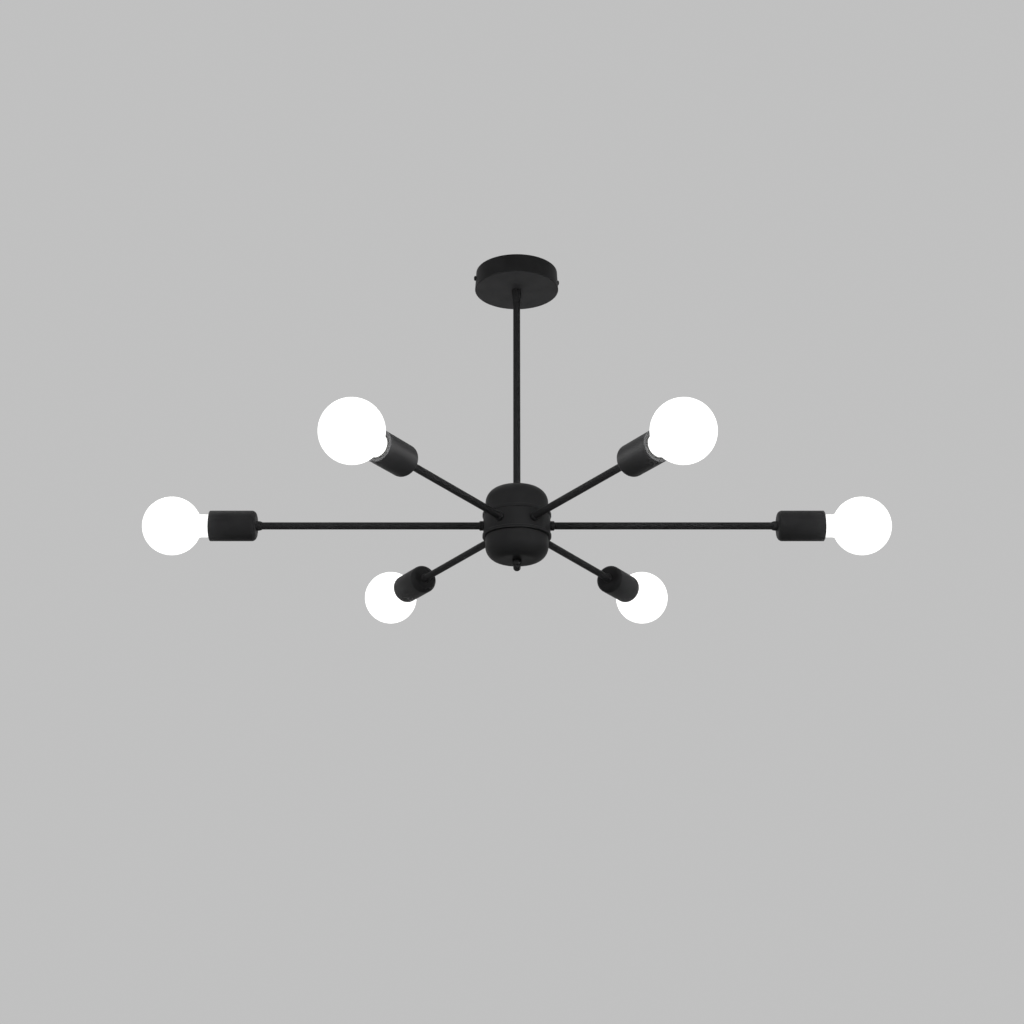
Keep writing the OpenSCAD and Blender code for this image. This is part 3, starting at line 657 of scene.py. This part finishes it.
def bezier(a, b, c, d, steps=8):
    """Points of a curve from a to d, without a itself."""
    points = []
    for i in range(1, steps + 1):
        t = i / steps
        s = 1 - t
        points.append(a * s ** 3 + b * 3 * s * s * t + c * 3 * s * t * t + d * t ** 3)
    return points


def into_connector(start, towards, low):
    """Last stretch of a lead, which ends straight down in the mouth of its connector."""
    top = low + Vector((0, 0, LEAD_STRAIGHT))
    return bezier(start, towards, top + Vector((0, 0, MOUTH_LEAD_IN)), top) + [low]


def arm_route(k, side):
    """Lead from the lampholder of arm k along its tube, round the hub and into its connector."""
    a = 60 * (k - 1)
    way = side * lead_turn(k)
    span = (side * 90 - a) * way % 360
    i = round((RING_FIRST_SPAN - span) / 60)
    mouth = REACH[k] / MM
    r = RING[side][0] + i * RING_STEP[0]
    z = RING[side][1] + i * RING_STEP[1]
    joins, leaves = a + way * RING_FROM[i], a + way * RING_TO[i]
    inner = beside(INNER_R, way * TUBE_SIDE, a)
    on, off = place(r, joins, z), place(r, leaves, z)
    slot = place(CONNECTOR_RING, (i - 1) * 60, 0)
    low_y = side * (CONNECTOR_Y + slot.y)
    low = Vector((lead_turn(k) * slot.x, low_y, MOUTH[side] - LEAD_DEPTH))
    end_y = RIVET_Y[side] * lead_turn(k)
    steps = round(abs(leaves - joins) / RING_POINT_STEP)
    route = [beside(mouth - LEAD_END, end_y, a), beside(mouth - LEAD_OUT, end_y, a)]
    route += [beside(mouth - LEAD_LINE, way * TUBE_SIDE, a), inner]
    out_of_tube, onto_ring = place(TUBE_LEAD_IN, a, 0), place(RING_LEAD_IN, joins + 90, 0)
    route += bezier(inner, inner - out_of_tube, on - way * onto_ring, on)
    route += [place(r, joins + (leaves - joins) * n / steps, z) for n in range(1, steps + 1)]
    route += into_connector(off, off + way * place(RING_LEAD_OUT, leaves + 90, 0), low)
    return [point + Vector((0, 0, HUB_Z / MM)) for point in route]


def rod_route(pole, at):
    """Supply lead from its pole of the terminal block over the rod's top end and down its bore."""
    degrees = math.degrees(BRACKET_ANGLE)
    pole_in = beside(POLE_X, pole * POLE_STEP, degrees, POLE_Z)
    pole_out = beside(POLE_X - POLE_LEAD_OUT, pole * POLE_STEP, degrees, POLE_Z)
    top = Vector((*at, ROD_HIGH / MM))
    over = top + Vector((0, 0, ROD_LEAD_OVER))
    return [pole_in] + bezier(pole_in, pole_out, over, top) + [Vector((*at, ROD_LOW / MM))]


def supply_route(side):
    route = rod_route(side, (0, side * ROD_SIDE))
    down = route[-1] - Vector((0, 0, ROD_LEAD_OUT))
    low = Vector((0, side * CONNECTOR_Y, HUB_Z / MM + MOUTH[side] - LEAD_DEPTH))
    return route + into_connector(route[-1], down, low)


def earth_route():
    route = rod_route(0, (ROD_SIDE, 0))
    end = Vector((EARTH_END[0], 0, ROD_LOW / MM + EARTH_END[1]))
    down = route[-1] - Vector((0, 0, EARTH_LEAD_OUT))
    return route + bezier(route[-1], down, end - Vector((EARTH_LEAD_OUT, 0, 0)), end)


def softened(points, steps=4):
    """Route with each corner rounded between the middles of its two sides, or nearer to it on long ones."""
    route = [points[0]]
    for before, corner, after in zip(points, points[1:], points[2:]):
        start = corner + (before - corner) * min(0.5, CORNER / (before - corner).length)
        end = corner + (after - corner) * min(0.5, CORNER / (after - corner).length)
        for n in range(steps + 1):
            t = n / steps
            point = start * (1 - t) ** 2 + corner * 2 * t * (1 - t) + end * t * t
            if (point - route[-1]).length > CLOSEST:
                route.append(point)
    route.append(points[-1])
    return route


def sheathed(name, points, sides=14):
    """Round wire along a route in millimetres, with its two ends slightly rounded."""
    route = softened(points)
    directions = [(b - a).normalized() for a, b in zip(route, route[1:])]
    side = directions[0].orthogonal().normalized()
    # Rings at a point of the route, each a share of the wire's radius and a shift along the route
    plain = ((1, 0),)
    rounded = {0: ((0.75, 0), (1, 0.15)), len(route) - 1: ((1, -0.15), (0.75, 0))}
    rings = [[tuple(route[0] * MM)]]
    for i, point in enumerate(route):
        before, after = directions[max(i - 1, 0)], directions[min(i, len(directions) - 1)]
        along = (before + after).normalized()
        side = (side - along * side.dot(along)).normalized()
        other = along.cross(side)
        for r, shift in rounded.get(i, plain):
            ring = []
            for j in range(sides):
                angle = math.tau * j / sides
                reach = side * math.cos(angle) + other * math.sin(angle)
                ring.append(tuple((point + along * shift + reach * WIRE_R * r) * MM))
            rings.append(ring)
    rings.append([tuple(route[-1] * MM)])
    return skin(name, rings)


def add_leads():
    still = Matrix.Identity(4)
    for name, side in (("live", 1), ("neutral", -1)):
        parts = [(sheathed(f"lead_{k}", arm_route(k, side)), 0, still) for k in ARMS]
        node = f"arm_leads_{name}"
        add_piece(f"leads_{name}", joined(f"leads_{name}", parts), [node], [FINISH[SLOT_OF[node]]])
    routes = {"live": supply_route(1), "neutral": supply_route(-1), "earth": earth_route()}
    for name, route in routes.items():
        node = f"supply_lead_{name}"
        add_piece(f"supply_{name}", sheathed(f"supply_{name}", route), [node], [FINISH[SLOT_OF[node]]])


# Stage, light and camera

BACKDROP_TONE = (0.53, 0.53, 0.53, 1)
FILL_TONE = (0.5, 0.5, 0.5, 1)
FILL_STRENGTH = 0.27
FLOOR_HALF = 9.0
FLOOR_Z = -2.5
CAMERA_SPOT = (-0.0067, -2.172, -1.147)
CAMERA_TILT = math.radians(109.76)
CAMERA_LENS = 59.06
BULB_LAMP_RADIUS = 0.045                # just outside the glass, so that the globe doesn't block its own lamp
BULB_LAMP_POWER = 4.6
CUP_LAMP_POWER = 2.2

# Lights that look at the hub: name, place, width and power in watts
STUDIO_LIGHTS = (
    ("key", (0.4, -2.4, 0.1), 1.5, 13),
    ("top", (-0.6, 0.5, 1.8), 2.0, 8),
    ("side_left", (-2.3, -0.6, -0.2), 1.4, 1.6),
    ("side_right", (2.3, 0.3, -0.3), 1.4, 1.2),
)

# The same for the front cups alone, whose soft highlights come from the other bulbs in the photo
GLEAM_LIGHTS = (
    ("gleam_left", (-2.0, 1.2, 0.1), 1.2, 33),
    ("gleam_right", (2.0, 1.2, 0.1), 1.2, 33),
)


def area_light(name, spot, size, power):
    """Round soft light that looks at the hub."""
    data = bpy.data.lights.new(name, "AREA")
    data.shape = "DISK"
    data.size = size
    data.energy = power
    lamp = bpy.data.objects.new(name, data)
    bpy.context.scene.collection.objects.link(lamp)
    lamp.location = spot
    lamp.rotation_euler = (HUB - lamp.location).to_track_quat("-Z", "Y").to_euler()
    return lamp


def link_lamp(lamp, pieces, state):
    """Makes the lamp light these pieces alone (INCLUDE) or all but these (EXCLUDE)."""
    linked = bpy.data.collections.new(lamp.name)
    for piece in pieces:
        linked.objects.link(piece)
    for item in linked.collection_objects:
        item.light_linking.link_state = state
    lamp.light_linking.receiver_collection = linked


def add_bulb_lamp(name, k, power, pieces, state):
    """Round soft lamp in the place of globe k, which lights all but these pieces, or these alone."""
    data = bpy.data.lights.new(name, "POINT")
    data.energy = power
    data.shadow_soft_size = BULB_LAMP_RADIUS
    data.use_soft_falloff = False
    lamp = bpy.data.objects.new(name, data)
    bpy.context.scene.collection.objects.link(lamp)
    lamp.location = on_arm(k, GLOBE_OUT).translation
    lamp.visible_camera = False
    lamp.visible_glossy = False
    link_lamp(lamp, pieces, state)
    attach(lamp, f"bulb_{k}")


def add_bulb_lamps(bright):
    """Light of the six bulbs, not on bright pieces, and less of it on a bulb's own cup and lampholder."""
    bright = bright + [NODES["lampholder_contacts"]] + [NODES[f"bulb_globe_{k}"] for k in ARMS]
    for k in ARMS:
        own = [NODES[f"socket_cup_{k}"], NODES[f"lampholder_{k}"]]
        add_bulb_lamp(f"bulb_lamp_{k}", k, BULB_LAMP_POWER, bright + own, "EXCLUDE")
        add_bulb_lamp(f"cup_lamp_{k}", k, CUP_LAMP_POWER, own, "INCLUDE")


def add_studio_lights():
    for light in STUDIO_LIGHTS:
        area_light(*light)
    front_cups = [NODES[f"socket_cup_{k}"] for k in FRONT_ARMS]
    for light in GLEAM_LIGHTS:
        link_lamp(area_light(*light), front_cups, "INCLUDE")


def make_world():
    """Grey fill, and the pale backdrop where it is seen directly."""
    world = bpy.data.worlds.new("studio")
    bpy.context.scene.world = world
    world.use_nodes = True
    tree = world.node_tree
    tree.nodes.clear()
    out = tree.nodes.new("ShaderNodeOutputWorld")
    seen = tree.nodes.new("ShaderNodeBackground")
    seen.inputs["Color"].default_value = BACKDROP_TONE
    fill = tree.nodes.new("ShaderNodeBackground")
    fill.inputs["Color"].default_value = FILL_TONE
    fill.inputs["Strength"].default_value = FILL_STRENGTH
    mix = tree.nodes.new("ShaderNodeMixShader")
    tree.links.new(seen_directly(tree), mix.inputs["Fac"])
    tree.links.new(fill.outputs["Background"], mix.inputs[1])
    tree.links.new(seen.outputs["Background"], mix.inputs[2])
    tree.links.new(mix.outputs["Shader"], out.inputs["Surface"])


def make_floor():
    mesh = bpy.data.meshes.new("floor")
    corners = [(-1, -1), (1, -1), (1, 1), (-1, 1)]
    mesh.from_pydata([(x * FLOOR_HALF, y * FLOOR_HALF, FLOOR_Z) for x, y in corners], [], [(0, 1, 2, 3)])
    mesh.materials.append(floor_material())
    floor = bpy.data.objects.new("floor", mesh)
    bpy.context.scene.collection.objects.link(floor)


def make_camera():
    data = bpy.data.cameras.new("camera")
    data.lens = CAMERA_LENS
    data.sensor_width = 36
    camera = bpy.data.objects.new("camera", data)
    bpy.context.scene.collection.objects.link(camera)
    camera.location = CAMERA_SPOT
    camera.rotation_euler = (CAMERA_TILT, 0, 0)
    bpy.context.scene.camera = camera


dress_frame()
caps_and_shells = add_caps_and_shells()
add_canopy_screws()
add_tubes()
add_leads()
make_world()
make_floor()
make_camera()
add_bulb_lamps(caps_and_shells)
add_studio_lights()
bpy.context.scene.view_settings.view_transform = "Standard"
